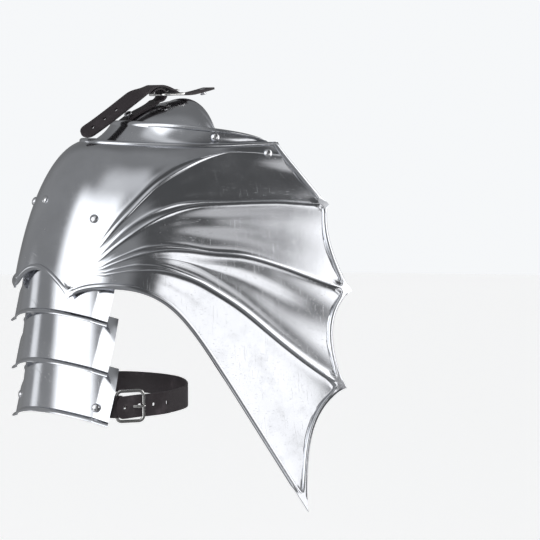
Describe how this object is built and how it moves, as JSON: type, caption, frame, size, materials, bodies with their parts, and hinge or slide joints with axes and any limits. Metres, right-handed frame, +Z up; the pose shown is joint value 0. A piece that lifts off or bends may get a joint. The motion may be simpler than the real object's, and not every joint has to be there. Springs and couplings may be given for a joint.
{
  "type": "pauldron",
  "caption": "Left shoulder armour: a domed, ribbed, wing-shaped back plate with scalloped points, lames towards the neck, lames round the upper arm and two buckled leather straps.",
  "frame": {"origin": "the point of the wearer's shoulder under the dome, on the axis of the arm, where the pauldron sits as worn", "axes": "+Z up, +Y the way the wearer faces, +X towards the wearer's neck"},
  "size_m": [0.3019, 0.2868, 0.4193],
  "materials": {
    "steel": "polished plate with fine scratches",
    "rivet": "polished domed heads",
    "buckle": "bright polished",
    "leather": "dark smooth leather, slightly worn"
  },
  "bodies": {
    "root": {"arm_buckle": "buckle", "arm_chape": "leather", "arm_strap": "leather", "arm_strap_rivet_front": "rivet", "arm_strap_rivet_rear": "rivet", "arm_tongue": "buckle", "chape_rivet": "rivet", "lame_1_rivet_front": "rivet", "lame_1_rivet_middle": "rivet", "lame_1_rivet_rear": "rivet", "lame_2_rivet_front": "rivet", "lame_2_rivet_middle": "rivet", "lame_2_rivet_rear": "rivet", "lame_3_rivet_front": "rivet", "lame_3_rivet_middle": "rivet", "lame_3_rivet_rear": "rivet", "lame_leather_front": "leather", "lame_leather_middle": "leather", "lame_leather_rear": "leather", "lame_pivot_rivet_front": "rivet", "lame_pivot_rivet_rear": "rivet", "leather_rivet_front": "rivet", "leather_rivet_middle": "rivet", "leather_rivet_rear": "rivet", "lower_lame_1": "steel", "lower_lame_2": "steel", "lower_lame_3": "steel", "main_pivot_rivet_front": "rivet", "main_pivot_rivet_rear": "rivet", "main_plate": "steel", "strap_end_rivet": "rivet", "suspension_buckle": "buckle", "suspension_chape": "leather", "suspension_strap": "leather", "suspension_tongue": "buckle", "upper_lame_1": "steel", "upper_lame_2": "steel"}
  },
  "joints": []
}
